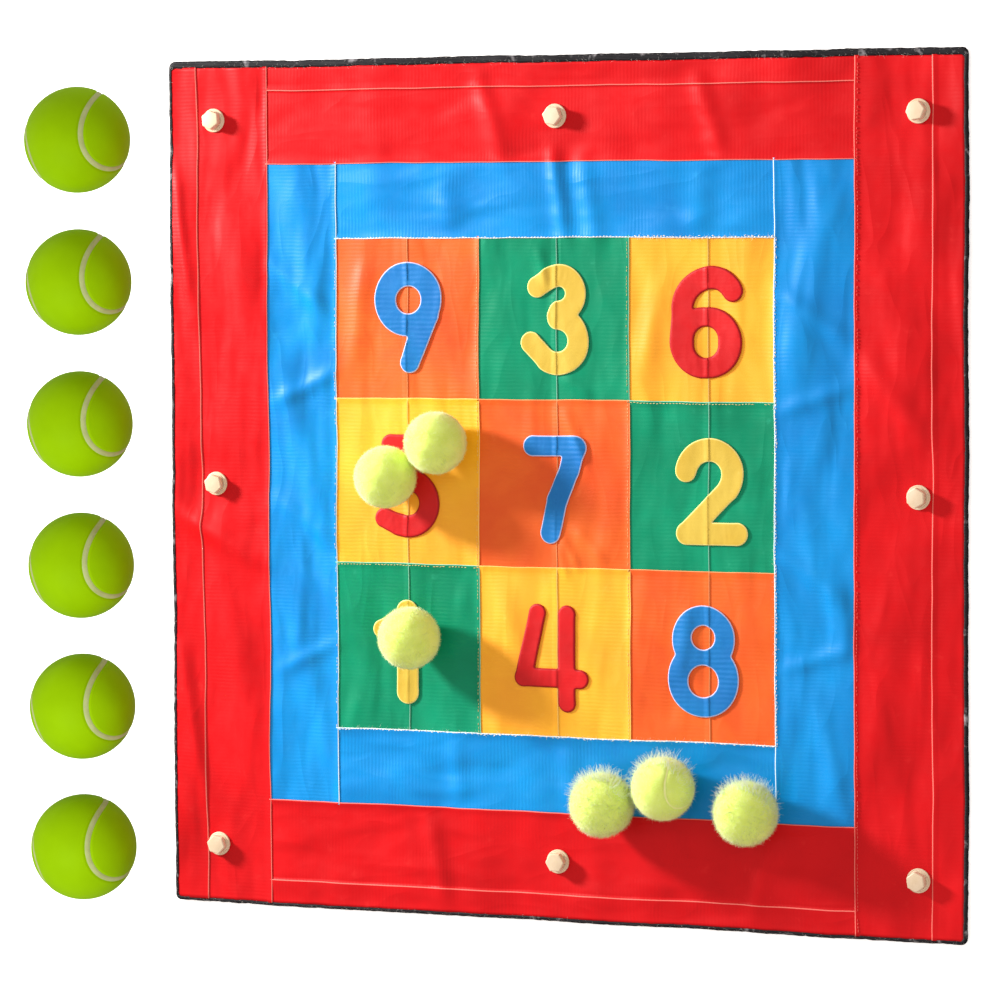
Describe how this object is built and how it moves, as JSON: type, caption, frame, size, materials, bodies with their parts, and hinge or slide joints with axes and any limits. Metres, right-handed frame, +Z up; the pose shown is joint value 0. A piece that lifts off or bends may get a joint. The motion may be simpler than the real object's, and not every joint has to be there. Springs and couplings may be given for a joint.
{
  "type": "tic tac toe toss",
  "caption": "Square toss mat with numbered squares in a blue frame and red border, hex screw fixings, and felt and smooth balls.",
  "frame": {"origin": "middle of the mat's underside, on the ground", "axes": "+X to the board's right, +Y to the board's top, +Z up out of its face"},
  "size_m": [1.0565, 0.914, 0.115],
  "materials": {
    "backing_fabric": "matt woven",
    "edge_tape": "matt woven, frayed",
    "red_tarpaulin": "satin coated scrim",
    "blue_tarpaulin": "satin coated scrim",
    "orange_tarpaulin": "satin coated scrim",
    "green_tarpaulin": "satin coated scrim",
    "yellow_tarpaulin": "satin coated scrim",
    "blue_digit": "satin",
    "yellow_digit": "satin",
    "red_digit": "satin",
    "ivory_nylon": "satin moulded",
    "ball_felt": "woolly felt",
    "play_ball_rubber": "smooth satin"
  },
  "bodies": {
    "mat": {"backing_sheet": "backing_fabric", "edge_tape": "edge_tape", "red_border_left": "red_tarpaulin", "red_border_right": "red_tarpaulin", "red_border_top": "red_tarpaulin", "red_border_bottom": "red_tarpaulin", "blue_frame_left": "blue_tarpaulin", "blue_frame_right": "blue_tarpaulin", "blue_frame_top": "blue_tarpaulin", "blue_frame_bottom": "blue_tarpaulin", "square_9": "orange_tarpaulin", "square_3": "green_tarpaulin", "square_6": "yellow_tarpaulin", "square_5": "yellow_tarpaulin", "square_7": "orange_tarpaulin", "square_2": "green_tarpaulin", "square_1": "green_tarpaulin", "square_4": "yellow_tarpaulin", "square_8": "orange_tarpaulin", "digit_9": "blue_digit", "digit_3": "yellow_digit", "digit_6": "red_digit", "digit_5": "red_digit", "digit_7": "blue_digit", "digit_2": "yellow_digit", "digit_1": "yellow_digit", "digit_4": "red_digit", "digit_8": "blue_digit", "screw_sockets": "ivory_nylon"},
    "washer_top_left": {"washer_top_left": "ivory_nylon"},
    "screw_top_left": {"screw_top_left": "ivory_nylon"},
    "washer_top_middle": {"washer_top_middle": "ivory_nylon"},
    "screw_top_middle": {"screw_top_middle": "ivory_nylon"},
    "washer_top_right": {"washer_top_right": "ivory_nylon"},
    "screw_top_right": {"screw_top_right": "ivory_nylon"},
    "washer_middle_left": {"washer_middle_left": "ivory_nylon"},
    "screw_middle_left": {"screw_middle_left": "ivory_nylon"},
    "washer_middle_right": {"washer_middle_right": "ivory_nylon"},
    "screw_middle_right": {"screw_middle_right": "ivory_nylon"},
    "washer_bottom_left": {"washer_bottom_left": "ivory_nylon"},
    "screw_bottom_left": {"screw_bottom_left": "ivory_nylon"},
    "washer_bottom_middle": {"washer_bottom_middle": "ivory_nylon"},
    "screw_bottom_middle": {"screw_bottom_middle": "ivory_nylon"},
    "washer_bottom_right": {"washer_bottom_right": "ivory_nylon"},
    "screw_bottom_right": {"screw_bottom_right": "ivory_nylon"},
    "felt_ball_upper": {"felt_ball_upper": "ball_felt"},
    "felt_ball_left": {"felt_ball_left": "ball_felt"},
    "felt_ball_low": {"felt_ball_low": "ball_felt"},
    "felt_ball_edge_left": {"felt_ball_edge_left": "ball_felt"},
    "felt_ball_edge_middle": {"felt_ball_edge_middle": "ball_felt"},
    "felt_ball_edge_right": {"felt_ball_edge_right": "ball_felt"},
    "play_ball_1": {"play_ball_1": "play_ball_rubber"},
    "play_ball_2": {"play_ball_2": "play_ball_rubber"},
    "play_ball_3": {"play_ball_3": "play_ball_rubber"},
    "play_ball_4": {"play_ball_4": "play_ball_rubber"},
    "play_ball_5": {"play_ball_5": "play_ball_rubber"},
    "play_ball_6": {"play_ball_6": "play_ball_rubber"}
  },
  "joints": [
    {"name": "washer_top_left_rise", "type": "slide", "parent": "mat", "child": "washer_top_left", "axis": [0, 0, 1], "range_m": [0, 0.00502]},
    {"name": "screw_top_left_turn", "type": "hinge", "parent": "washer_top_left", "child": "screw_top_left", "pos_m": [-0.403, 0.393, 0.0076], "axis": [0, 0, 1], "range_deg": [0, 1440]},
    {"name": "washer_top_middle_rise", "type": "slide", "parent": "mat", "child": "washer_top_middle", "axis": [0, 0, 1], "range_m": [0, 0.00502]},
    {"name": "screw_top_middle_turn", "type": "hinge", "parent": "washer_top_middle", "child": "screw_top_middle", "pos_m": [0, 0.393, 0.0076], "axis": [0, 0, 1], "range_deg": [0, 1440]},
    {"name": "washer_top_right_rise", "type": "slide", "parent": "mat", "child": "washer_top_right", "axis": [0, 0, 1], "range_m": [0, 0.00502]},
    {"name": "screw_top_right_turn", "type": "hinge", "parent": "washer_top_right", "child": "screw_top_right", "pos_m": [0.403, 0.393, 0.0076], "axis": [0, 0, 1], "range_deg": [0, 1440]},
    {"name": "washer_middle_left_rise", "type": "slide", "parent": "mat", "child": "washer_middle_left", "axis": [0, 0, 1], "range_m": [0, 0.00502]},
    {"name": "screw_middle_left_turn", "type": "hinge", "parent": "washer_middle_left", "child": "screw_middle_left", "pos_m": [-0.403, 0, 0.0076], "axis": [0, 0, 1], "range_deg": [0, 1440]},
    {"name": "washer_middle_right_rise", "type": "slide", "parent": "mat", "child": "washer_middle_right", "axis": [0, 0, 1], "range_m": [0, 0.00502]},
    {"name": "screw_middle_right_turn", "type": "hinge", "parent": "washer_middle_right", "child": "screw_middle_right", "pos_m": [0.403, 0, 0.0076], "axis": [0, 0, 1], "range_deg": [0, 1440]},
    {"name": "washer_bottom_left_rise", "type": "slide", "parent": "mat", "child": "washer_bottom_left", "axis": [0, 0, 1], "range_m": [0, 0.00502]},
    {"name": "screw_bottom_left_turn", "type": "hinge", "parent": "washer_bottom_left", "child": "screw_bottom_left", "pos_m": [-0.403, -0.393, 0.0076], "axis": [0, 0, 1], "range_deg": [0, 1440]},
    {"name": "washer_bottom_middle_rise", "type": "slide", "parent": "mat", "child": "washer_bottom_middle", "axis": [0, 0, 1], "range_m": [0, 0.00502]},
    {"name": "screw_bottom_middle_turn", "type": "hinge", "parent": "washer_bottom_middle", "child": "screw_bottom_middle", "pos_m": [0, -0.393, 0.0076], "axis": [0, 0, 1], "range_deg": [0, 1440]},
    {"name": "washer_bottom_right_rise", "type": "slide", "parent": "mat", "child": "washer_bottom_right", "axis": [0, 0, 1], "range_m": [0, 0.00502]},
    {"name": "screw_bottom_right_turn", "type": "hinge", "parent": "washer_bottom_right", "child": "screw_bottom_right", "pos_m": [0.403, -0.393, 0.0076], "axis": [0, 0, 1], "range_deg": [0, 1440]},
    {"name": "felt_ball_upper_lift", "type": "slide", "parent": "mat", "child": "felt_ball_upper", "axis": [0, 0, 1], "range_m": [0, 0.15]},
    {"name": "felt_ball_left_lift", "type": "slide", "parent": "mat", "child": "felt_ball_left", "axis": [0, 0, 1], "range_m": [0, 0.15]},
    {"name": "felt_ball_low_lift", "type": "slide", "parent": "mat", "child": "felt_ball_low", "axis": [0, 0, 1], "range_m": [0, 0.15]},
    {"name": "felt_ball_edge_left_lift", "type": "slide", "parent": "mat", "child": "felt_ball_edge_left", "axis": [0, 0, 1], "range_m": [0, 0.15]},
    {"name": "felt_ball_edge_middle_lift", "type": "slide", "parent": "mat", "child": "felt_ball_edge_middle", "axis": [0, 0, 1], "range_m": [0, 0.15]},
    {"name": "felt_ball_edge_right_lift", "type": "slide", "parent": "mat", "child": "felt_ball_edge_right", "axis": [0, 0, 1], "range_m": [0, 0.15]},
    {"name": "play_ball_1_lift", "type": "slide", "parent": "mat", "child": "play_ball_1", "axis": [0, 0, 1], "range_m": [0, 0.08]},
    {"name": "play_ball_2_lift", "type": "slide", "parent": "mat", "child": "play_ball_2", "axis": [0, 0, 1], "range_m": [0, 0.08]},
    {"name": "play_ball_3_lift", "type": "slide", "parent": "mat", "child": "play_ball_3", "axis": [0, 0, 1], "range_m": [0, 0.08]},
    {"name": "play_ball_4_lift", "type": "slide", "parent": "mat", "child": "play_ball_4", "axis": [0, 0, 1], "range_m": [0, 0.08]},
    {"name": "play_ball_5_lift", "type": "slide", "parent": "mat", "child": "play_ball_5", "axis": [0, 0, 1], "range_m": [0, 0.08]},
    {"name": "play_ball_6_lift", "type": "slide", "parent": "mat", "child": "play_ball_6", "axis": [0, 0, 1], "range_m": [0, 0.08]}
  ],
  "couplings": [
    {"joint": "washer_top_left_rise", "follows": "screw_top_left_turn", "m_per_rad": 0.00019894},
    {"joint": "washer_top_middle_rise", "follows": "screw_top_middle_turn", "m_per_rad": 0.00019894},
    {"joint": "washer_top_right_rise", "follows": "screw_top_right_turn", "m_per_rad": 0.00019894},
    {"joint": "washer_middle_left_rise", "follows": "screw_middle_left_turn", "m_per_rad": 0.00019894},
    {"joint": "washer_middle_right_rise", "follows": "screw_middle_right_turn", "m_per_rad": 0.00019894},
    {"joint": "washer_bottom_left_rise", "follows": "screw_bottom_left_turn", "m_per_rad": 0.00019894},
    {"joint": "washer_bottom_middle_rise", "follows": "screw_bottom_middle_turn", "m_per_rad": 0.00019894},
    {"joint": "washer_bottom_right_rise", "follows": "screw_bottom_right_turn", "m_per_rad": 0.00019894}
  ]
}
